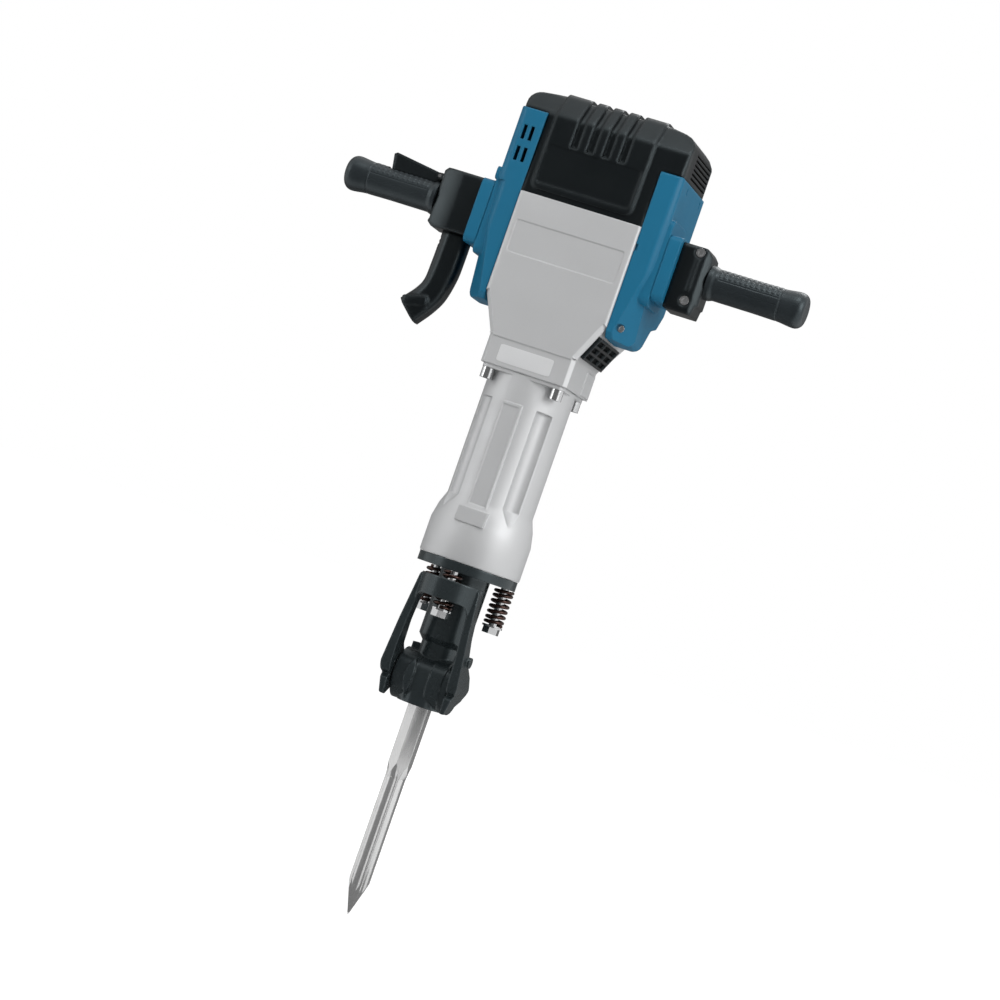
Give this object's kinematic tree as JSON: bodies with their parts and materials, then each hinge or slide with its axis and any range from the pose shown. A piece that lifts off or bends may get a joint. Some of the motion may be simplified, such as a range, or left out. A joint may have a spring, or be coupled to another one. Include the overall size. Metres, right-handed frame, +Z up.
{
  "type": "electric demolition breaker hammer",
  "caption": "Upright electric breaker hammer with a pointed hexagon chisel, spring-tied front head with swing yoke, cast barrel, crank drive, hooded motor and sprung side handles.",
  "frame": {"origin": "the tip of the chisel, on the tool axis", "axes": "+Z up along the tool axis to the motor hood, +X to the right handle, -Y to the front panel"},
  "size_m": [0.6422, 0.1716, 1.094],
  "materials": {
    "cast_aluminium": "satin cast",
    "blue_plastic": "satin moulded",
    "black_plastic": "satin moulded",
    "grip_rubber": "textured",
    "forged_steel": "black coated forging",
    "tool_steel": "ground",
    "plated_steel": "bright plated",
    "spring_steel": "oil tempered",
    "core_steel": "lacquered laminations",
    "copper": "enamelled",
    "brass": "stamped",
    "carbon": "matt"
  },
  "bodies": {
    "housing": {"gear_housing": "cast_aluminium", "rear_gear_cover": "cast_aluminium", "gear_plate": "cast_aluminium", "barrel": "cast_aluminium", "drive_bracket": "cast_aluminium", "tail_bracket": "cast_aluminium", "left_side_cover": "blue_plastic", "right_side_cover": "blue_plastic", "motor_hood": "black_plastic", "exhaust_grille": "black_plastic", "control_module": "black_plastic", "striker_guide": "tool_steel", "cylinder_tube": "tool_steel", "guide_rods": "tool_steel", "rotor_bearings": "tool_steel", "crank_bearings": "tool_steel", "idler_bearings": "tool_steel", "cover_screws": "plated_steel", "rear_cover_screws": "plated_steel", "barrel_bolts": "plated_steel", "tie_bolts": "plated_steel", "tie_springs": "spring_steel", "left_damper_spring": "spring_steel", "right_damper_spring": "spring_steel", "stator_core": "core_steel", "field_windings": "copper", "brush_holders": "brass", "carbon_brushes": "carbon"},
    "left_handle": {"left_slider": "blue_plastic", "left_hub": "black_plastic", "left_grip": "grip_rubber", "left_hub_bolts": "plated_steel", "cord_arm": "black_plastic", "switch_module": "black_plastic", "trigger_pin": "plated_steel"},
    "right_handle": {"right_slider": "blue_plastic", "right_hub": "black_plastic", "right_grip": "grip_rubber", "right_hub_bolts": "plated_steel"},
    "trigger": {"trigger_lever": "black_plastic"},
    "rotor": {"rotor_shaft": "tool_steel", "rotor_core": "core_steel", "commutator": "copper", "cooling_fan": "black_plastic"},
    "idler": {"idler_shaft": "tool_steel", "idler_gear": "tool_steel"},
    "crank": {"crank_shaft": "tool_steel", "crank_gear": "tool_steel"},
    "piston": {"piston": "cast_aluminium", "connecting_rod": "tool_steel", "wrist_pin": "tool_steel", "crank_pin": "tool_steel"},
    "ram": {"ram": "tool_steel"},
    "striker": {"striker": "tool_steel"},
    "head": {"front_head": "forged_steel", "hex_sleeve": "tool_steel"},
    "yoke": {"retainer_yoke": "forged_steel", "retainer_bar": "tool_steel"},
    "chisel": {"chisel": "tool_steel"}
  },
  "joints": [
    {"name": "left_handle_slide", "type": "slide", "parent": "housing", "child": "left_handle", "axis": [0, 0, 1], "range_m": [-0.012, 0], "stiffness_N_per_m": 15000, "springref_m": 0.004, "deforming": ["left_damper_spring"]},
    {"name": "right_handle_slide", "type": "slide", "parent": "housing", "child": "right_handle", "axis": [0, 0, 1], "range_m": [-0.012, 0], "stiffness_N_per_m": 15000, "springref_m": 0.004, "deforming": ["right_damper_spring"]},
    {"name": "trigger_hinge", "type": "hinge", "parent": "left_handle", "child": "trigger", "pos_m": [-0.204, -0.015, 0.942], "axis": [0, -1, 0], "range_deg": [0, 3.5], "stiffness_Nm_per_rad": 0.5, "springref_deg": -11.46},
    {"name": "rotor_spin", "type": "hinge", "parent": "housing", "child": "rotor", "pos_m": [0, 0.01656, 0.99382], "axis": [1, 0, 0], "continuous": true},
    {"name": "idler_spin", "type": "hinge", "parent": "housing", "child": "idler", "pos_m": [0, 0.01656, 0.93382], "axis": [1, 0, 0], "continuous": true},
    {"name": "crank_spin", "type": "hinge", "parent": "housing", "child": "crank", "pos_m": [0, 0, 0.872], "axis": [1, 0, 0], "continuous": true},
    {"name": "piston_slide", "type": "slide", "parent": "housing", "child": "piston", "axis": [0, 0, 1], "range_m": [0, 0.048]},
    {"name": "ram_slide", "type": "slide", "parent": "housing", "child": "ram", "axis": [0, 0, 1], "range_m": [0, 0.0384]},
    {"name": "striker_slide", "type": "slide", "parent": "housing", "child": "striker", "axis": [0, 0, 1], "range_m": [0, 0.012]},
    {"name": "head_slide", "type": "slide", "parent": "housing", "child": "head", "axis": [0, 0, 1], "range_m": [-0.006, 0], "stiffness_N_per_m": 60000, "springref_m": 0.01, "deforming": ["tie_springs"]},
    {"name": "yoke_hinge", "type": "hinge", "parent": "head", "child": "yoke", "pos_m": [0, -0.01997, 0.323], "axis": [1, 0, 0], "range_deg": [0, 125]},
    {"name": "chisel_slide", "type": "slide", "parent": "head", "child": "chisel", "axis": [0, 0, 1], "range_m": [0, 0.03]}
  ],
  "couplings": [
    {"joint": "idler_spin", "follows": "rotor_spin", "ratio": -0.21212},
    {"joint": "crank_spin", "follows": "rotor_spin", "ratio": 0.059394},
    {"joint": "ram_slide", "follows": "piston_slide", "ratio": 0.8},
    {"joint": "striker_slide", "follows": "chisel_slide", "ratio": 0.4}
  ]
}
